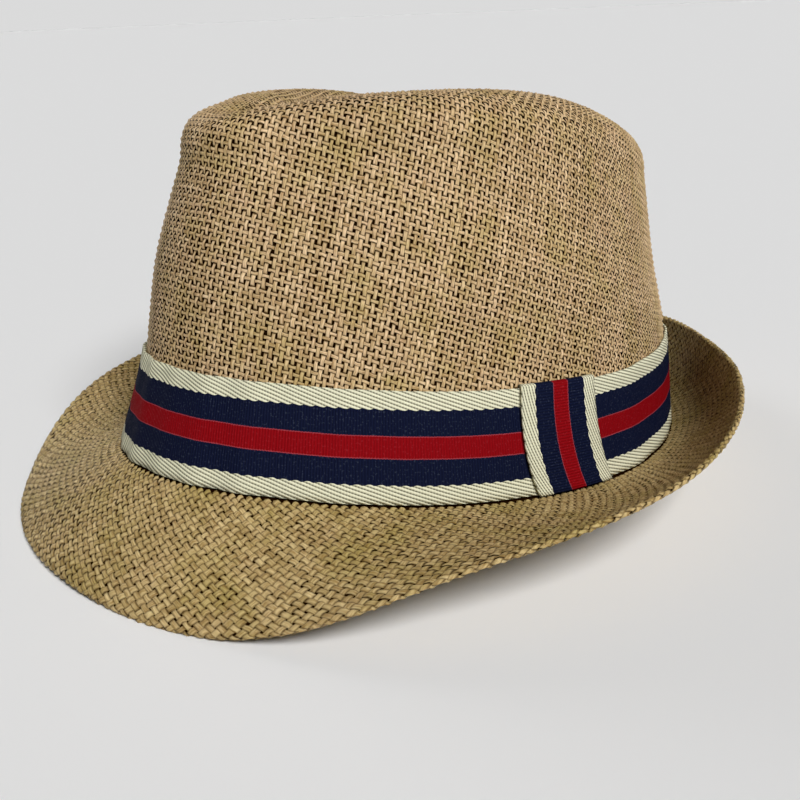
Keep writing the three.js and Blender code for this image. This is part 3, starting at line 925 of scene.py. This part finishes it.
class HAT_OT_crown(bpy.types.Operator):
    """Weaves the crown's wall and dented top over a thin core sheet, dark with painted shade outside and woven inside
    """

    bl_idname = "fedora.crown"
    bl_label = "Crown"
    bl_options = {"REGISTER", "UNDO"}

    def execute(self, context):
        straw = context.scene.straw
        seed = context.scene.studio.seed
        angles = np.arange(0, 360, 2.0)
        turn = 1 - (1 - np.linspace(0, 1, 15)[1:]) ** 2
        levels = np.concatenate([
            np.linspace(0.012, SHOULDER_START, 34),
            SHOULDER_START + (1 - SHOULDER_START) * turn,
            1 + np.linspace(0, 1, 25)[1:],
        ])
        rows = lifted_crown(angles[None], levels[:, None], -0.6 + 0 * (angles[None] + levels[:, None]))
        steps = np.linalg.norm(np.diff(rows, axis=0), axis=2).mean(1)
        u, v = around_map(len(angles), WALL_WARPS, np.concatenate([[0], np.cumsum(steps)]) * WALL_WEFTS)
        gaps = shared("straw_painted_gap_shade", lambda: painted_gap_shade_material(straw))
        inside = shared("woven_straw_inside", lambda: woven_material(straw))
        # The core sheet's outer face is painted shade for the holes between the threads; its inner face is the woven
        # back seen inside the crown.
        core = extruded_rings("crown_core_with_painted_shade", rows, u, v, (gaps, inside), 0.6)
        adopt(core, "crown")

        yarn = shared("paper_straw_crown", lambda: crown_thread(straw))
        half = WALL_WARPS // 2
        top = int((WALL_LENGTHS.max() + 5) * WALL_WEFTS + WALL_DRIFT * SIDEWAYS.max())
        warps = threads(wall_cloth, "warp", -half, half - 1, 8, top, (straw.warp_width, straw.height * 1.15, 0.22), seed)
        wefts = threads(wall_cloth, "weft", 8, top, -half - 40, half + 40, (straw.weft_width, straw.height * 0.7, 0.16),
                        seed + 1)
        for name, part in (("crown_warps", warps), ("crown_wefts", wefts)):
            piece = set_mesh(name, settle(part[0]), part[1], part[2], part[3])
            adopt(piece, None, yarn)
        tip = TipCloth()
        parts = [
            threads(tip, "warp", -40, 40, -50, 50, (straw.warp_width, straw.height * 1.15, 0.22), seed + 2),
            threads(tip, "weft", -50, 50, -40, 40, (straw.weft_width, straw.height * 0.7, 0.16), seed + 3),
        ]
        points, faces, uv, values = join_parts(parts)
        piece = set_mesh("crown_top_threads", settle(points), faces, uv, values)
        adopt(piece, None, yarn)
        return {"FINISHED"}


class HAT_OT_brim(bpy.types.Operator):
    """Weaves the brim's top, its turned hem and its underside over a thin core sheet, dark with painted shade except
    round the collar
    """

    bl_idname = "fedora.brim"
    bl_label = "Brim"
    bl_options = {"REGISTER", "UNDO"}

    def execute(self, context):
        straw = context.scene.straw
        seed = context.scene.studio.seed
        angles = np.arange(0, 360, 2.0)
        width = brim_width(angles)
        rows = []
        for share in np.linspace(0, 1, 22):
            rows.append(brim_point(angles, share * width, 0 * width + 0.12))
        for share in np.linspace(1, 0, 22):
            lower = np.clip((share * width - (width - HEM_WIDTH)) / 0.6 - 1, 0, 1)
            rows.append(brim_point(angles, share * width, -0.15 - 0.55 * lower))
        middle = COLLAR_OUT / 2
        ring = ring_height(angles)
        rows.append(at(angles, CROWN_OUT + 0.2, ring - 1.7))
        rows.append(at(angles, middle - 0.55, ring - 0.6))
        lean = wall_lean(angles, COLLAR_HEIGHT / crest_height(angles))
        rows.append(at(angles, middle - 0.6 - lean, ring + COLLAR_HEIGHT))
        rows.append(at(angles, middle + 0.55 - lean, ring + COLLAR_HEIGHT))
        rows.append(at(angles, middle + 0.5, ring + 0.2))
        rows.append(at(angles, CROWN_OUT + 0.4, ring - 0.75))
        rows = np.array(rows)
        steps = np.linalg.norm(np.diff(np.concatenate([rows, rows[:1]]), axis=0), axis=2).mean(1)
        u, v = around_map(len(angles), WALL_WARPS, np.concatenate([[0], np.cumsum(steps)]) * WALL_WEFTS)
        gaps = shared("straw_painted_gap_shade", lambda: painted_gap_shade_material(straw))
        inside = shared("woven_straw_inside", lambda: woven_material(straw))
        # The core sheet is painted shade for the holes between the threads, except round the collar, where it is the
        # woven back.
        core = extruded_rings("brim_cloth", rows, u, v, (gaps, inside), bridged=True)
        adopt(core, "brim")
        from_root, to_collar = v[43, 0] - 0.01, v[47, 0] + 0.01
        for face in core.data.polygons:
            heights = [core.data.uv_layers[0].data[i].uv[1] for i in face.loop_indices]
            face.material_index = int(min(heights) > from_root and max(heights) < to_collar)

        yarn = shared("paper_straw_brim", lambda: brim_thread(straw))
        half = BRIM_THREADS // 2
        reach = int((BRIM_WIDTH + NOSE_LENGTH + HEM_WIDTH) * BRIM_WEFTS) + 2
        warp_style = (straw.brim_width, straw.height, 0.2)
        weft_style = (straw.brim_width * 1.02, straw.height * 0.8, 0.2)
        for name, cloth, sunk in (("brim_top_threads", brim_cloth, 1), ("brim_under_threads", under_cloth, -1)):
            parts = [
                threads(cloth, "warp", -half, half + reach, -half - reach, half, warp_style, seed + 4, sunk),
                threads(cloth, "weft", -half - reach, half, -half, half + reach, weft_style, seed + 5, sunk),
            ]
            points, faces, uv, values = join_parts(parts)
            piece = set_mesh(name, settle(points), faces, uv, values)
            adopt(piece, None, yarn)
        return {"FINISHED"}


class HAT_OT_ribbon(bpy.types.Operator):
    """Makes the striped ribbon that goes round the crown"""

    bl_idname = "fedora.ribbon"
    bl_label = "Ribbon"
    bl_options = {"REGISTER", "UNDO"}

    def execute(self, context):
        ribbon = context.scene.ribbon
        angles = TAB_ANGLE + np.arange(0, 360, 0.5)
        shares = np.linspace(0, 1, 17)
        thick = RIBBON_THICKNESS - 0.25
        rng = np.random.default_rng(3)
        waves = sum(rng.normal(0, 0.05) * np.cos(np.radians(k * angles) + rng.random() * TAU) for k in range(5, 40))
        rows = []
        for share in shares:
            bulge = 0.12 * math.sin(math.pi * share) + waves * (0.4 + 0.6 * abs(2 * share - 1))
            rows.append(on_wall(angles, RIBBON_IN + thick + bulge, share * band_width(angles)))
        foot = foot_length(at(TAB_ANGLE + np.linspace(0, 360, 721), RIBBON_OUT, np.zeros(721)))
        u, v = np.broadcast_arrays((foot - foot[0])[None], shares[:, None])
        cloth = ribbon_material("striped_ribbon", ribbon)
        piece = extruded_rings("ribbon", np.array(rows), u, v, (cloth,), thick - 0.05)
        adopt(piece, "ribbon_band")
        return {"FINISHED"}


class HAT_OT_tab(bpy.types.Operator):
    """Makes the keeper tab, a piece of the same ribbon stood upright round the band"""

    bl_idname = "fedora.tab"
    bl_label = "Keeper tab"
    bl_options = {"REGISTER", "UNDO"}

    def execute(self, context):
        ribbon = context.scene.ribbon
        there = at(np.array([TAB_ANGLE - 1, TAB_ANGLE + 1]), RIBBON_OUT, np.zeros(2))
        speed = np.linalg.norm(there[1] - there[0]) / 2
        across = np.linspace(-0.5, 0.5, 25)
        band = band_width(np.array([TAB_ANGLE]))[0]
        top = band + TAB_RISE
        heights = np.linspace(0, top, 25)
        path = [(TAB_IN + 0.75 + 0.25 * math.sin(math.pi * h / top), h) for h in heights]
        path += [(TAB_IN + 0.45, top + 0.3), (RIBBON_OUT, top + 0.42), (RIBBON_OUT - 0.6, top + 0.36)]
        bpy.ops.object.select_all(action="DESELECT")
        bpy.ops.mesh.primitive_grid_add(x_subdivisions=len(across) - 1, y_subdivisions=len(path) - 1, size=1.0)
        piece = context.object
        piece.name = piece.data.name = "keeper_tab"
        mesh = piece.data
        flat = np.zeros(3 * len(mesh.vertices))
        mesh.vertices.foreach_get("co", flat)
        flat = flat.reshape(-1, 3)
        column = np.rint((flat[:, 0] + 0.5) * (len(across) - 1)).astype(int)
        row = np.rint((flat[:, 1] + 0.5) * (len(path) - 1)).astype(int)
        rows = []
        for out, height in path:
            down = 1 - np.clip(height / RIBBON_WIDTH, 0, 1)
            lean = math.tan(math.radians(TAB_LEAN)) * RIBBON_WIDTH / 2 - TAB_SWAY * down ** 3
            lean = lean + TAB_BOW * down * (1 - down)
            angle = TAB_ANGLE + (across * TAB_WIDTH - lean) / speed
            rows.append(on_wall(angle, out + 0 * across, height + 0 * across))
        rows = np.array(rows)
        mesh.vertices.foreach_set("co", settle(rows[row, column]).ravel())
        mesh.update()
        run = np.cumsum(np.concatenate([[0], np.linalg.norm(np.diff(rows, axis=0), axis=2).mean(1)]))
        u, v = np.broadcast_arrays(run[:, None], across[None] + 0.5)
        if mesh.polygons[0].normal.x < 0:
            edit(piece, (bpy.ops.mesh.select_all, {"action": "SELECT"}), (bpy.ops.mesh.flip_normals, {}))
        finish_sheet(piece, np.stack([row, column], -1), u, v, (ribbon_material("striped_tab", ribbon),), 0.7)
        adopt(piece, "ribbon_tab")
        return {"FINISHED"}


class HAT_OT_stage(bpy.types.Operator):
    """Adds the floor, the soft lights and the camera"""

    bl_idname = "fedora.stage"
    bl_label = "Stage"
    bl_options = {"REGISTER", "UNDO"}

    def execute(self, context):
        studio = context.scene.studio
        context.scene.view_settings.view_transform = "Standard"
        bpy.ops.object.select_all(action="DESELECT")
        bpy.ops.mesh.primitive_plane_add(size=FLOOR_SIZE, location=(0, 0, 0))
        floor = context.object
        floor.name = "floor"
        n = Nodes("pale_floor")
        grain = n.spread(n.noise(n.place(), 3.0, 2), 0.3, 0.7, 0.0, 0.01)
        colour = n.blend(grain, (FLOOR_GREY,) * 3, (FLOOR_GREY * 0.95,) * 3)
        floor.data.materials.append(n.finish(colour, 0.95, specular=0.0))

        bpy.ops.mesh.primitive_uv_sphere_add(segments=64, ring_count=32, radius=BACKDROP_RADIUS)
        backdrop = context.object
        backdrop.name = "backdrop"
        n = Nodes("pale_backdrop")
        n.shader.inputs["Base Color"].default_value = (0, 0, 0, 1)
        n.shader.inputs["Specular IOR Level"].default_value = 0
        n.shader.inputs["Emission Color"].default_value = (BACKDROP_GREY,) * 3 + (1,)
        n.shader.inputs["Emission Strength"].default_value = 1.0
        backdrop.data.materials.append(n.material)
        backdrop.visible_diffuse = False
        backdrop.visible_glossy = False
        backdrop.visible_transmission = False
        backdrop.visible_shadow = False

        world = context.scene.world or bpy.data.worlds.new("studio")
        context.scene.world = world
        world.use_nodes = True
        tree = world.node_tree
        background = tree.nodes["Background"]
        place = tree.nodes.new("ShaderNodeTexCoord")
        split = tree.nodes.new("ShaderNodeSeparateXYZ")
        tree.links.new(place.outputs["Generated"], split.inputs[0])
        climb = tree.nodes.new("ShaderNodeMapRange")
        climb.inputs["From Min"].default_value = 0.02
        climb.inputs["From Max"].default_value = 0.2
        climb.inputs["To Min"].default_value = HORIZON_GREY
        climb.inputs["To Max"].default_value = studio.sky
        tree.links.new(split.outputs[2], climb.inputs["Value"])
        tree.links.new(climb.outputs[0], background.inputs["Strength"])
        background.inputs["Color"].default_value = (1.0, 1.0, 1.0, 1)

        a, e = studio.azimuth, studio.elevation
        back = np.array([math.sin(a) * math.cos(e), -math.cos(a) * math.cos(e), math.sin(e)])
        right = np.array([math.cos(a), math.sin(a), 0.0])
        forward = -back
        up = np.cross(right, forward)
        place = studio.distance / MM * back + np.array([0, 0, 55.0])
        forward, right = math.cos(studio.pan) * forward + math.sin(studio.pan) * right, None
        right = np.cross(forward, up)
        forward, up = math.cos(studio.tilt) * forward + math.sin(studio.tilt) * up, up
        up = np.cross(right, forward)
        c, s = math.cos(studio.roll), math.sin(studio.roll)
        right, up = c * right + s * up, c * up - s * right
        axes = np.stack([right, up, -forward], -1)
        turn = Matrix((REST_TURN @ axes).tolist())
        camera_data = bpy.data.cameras.new("camera")
        camera_data.lens = studio.lens
        camera_data.sensor_width = 36
        camera_data.clip_start = 0.01
        camera_data.clip_end = 500
        camera = bpy.data.objects.new("camera", camera_data)
        context.scene.collection.objects.link(camera)
        camera.matrix_world = Matrix.Translation(Vector(settle(place[None])[0])) @ turn.to_4x4()
        context.scene.camera = camera

        def soft_sun(name, azimuth, elevation, power, softness):
            data = bpy.data.lights.new(name, "SUN")
            data.energy = power
            data.angle = softness
            light = bpy.data.objects.new(name, data)
            context.scene.collection.objects.link(light)
            away = Vector((
                math.sin(azimuth) * math.cos(elevation),
                -math.cos(azimuth) * math.cos(elevation),
                math.sin(elevation),
            ))
            light.location = away * 2
            light.rotation_mode = "QUATERNION"
            light.rotation_quaternion = away.to_track_quat("Z", "Y")

        soft_sun("key_light", studio.key_azimuth, studio.key_elevation, studio.key_power, math.radians(24))
        soft_sun("back_light", studio.key_azimuth + math.radians(196), math.radians(24), studio.back_power,
                 math.radians(30))
        return {"FINISHED"}


class HAT_PT_panel(bpy.types.Panel):
    """Lists the hat's pieces and settings"""

    bl_idname = "HAT_PT_panel"
    bl_label = "Fedora"
    bl_space_type = "VIEW_3D"
    bl_region_type = "UI"
    bl_category = "Fedora"

    def draw(self, context):
        layout = self.layout
        for group in ("straw", "ribbon", "studio"):
            settings = getattr(context.scene, group)
            box = layout.box()
            for key in settings.bl_rna.properties.keys():
                if key not in {"rna_type", "name"}:
                    box.prop(settings, key)
        for operator in BUILD_ORDER:
            layout.operator(operator.bl_idname)


GROUPS = {"straw": StrawSettings, "ribbon": RibbonSettings, "studio": StudioSettings}
BUILD_ORDER = (HAT_OT_stage, HAT_OT_crown, HAT_OT_brim, HAT_OT_ribbon, HAT_OT_tab)
CLASSES = (*GROUPS.values(), *BUILD_ORDER, HAT_PT_panel)


def register():
    for cls in CLASSES:
        bpy.utils.register_class(cls)
    for name, group in GROUPS.items():
        setattr(bpy.types.Scene, name, PointerProperty(type=group))


def unregister():
    for name in GROUPS:
        delattr(bpy.types.Scene, name)
    for cls in reversed(CLASSES):
        bpy.utils.unregister_class(cls)


def main():
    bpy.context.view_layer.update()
    register()
    bpy.ops.fedora.stage()
    bpy.ops.fedora.crown()
    bpy.ops.fedora.brim()
    bpy.ops.fedora.ribbon()
    bpy.ops.fedora.tab()


if __name__ == "__main__":
    main()
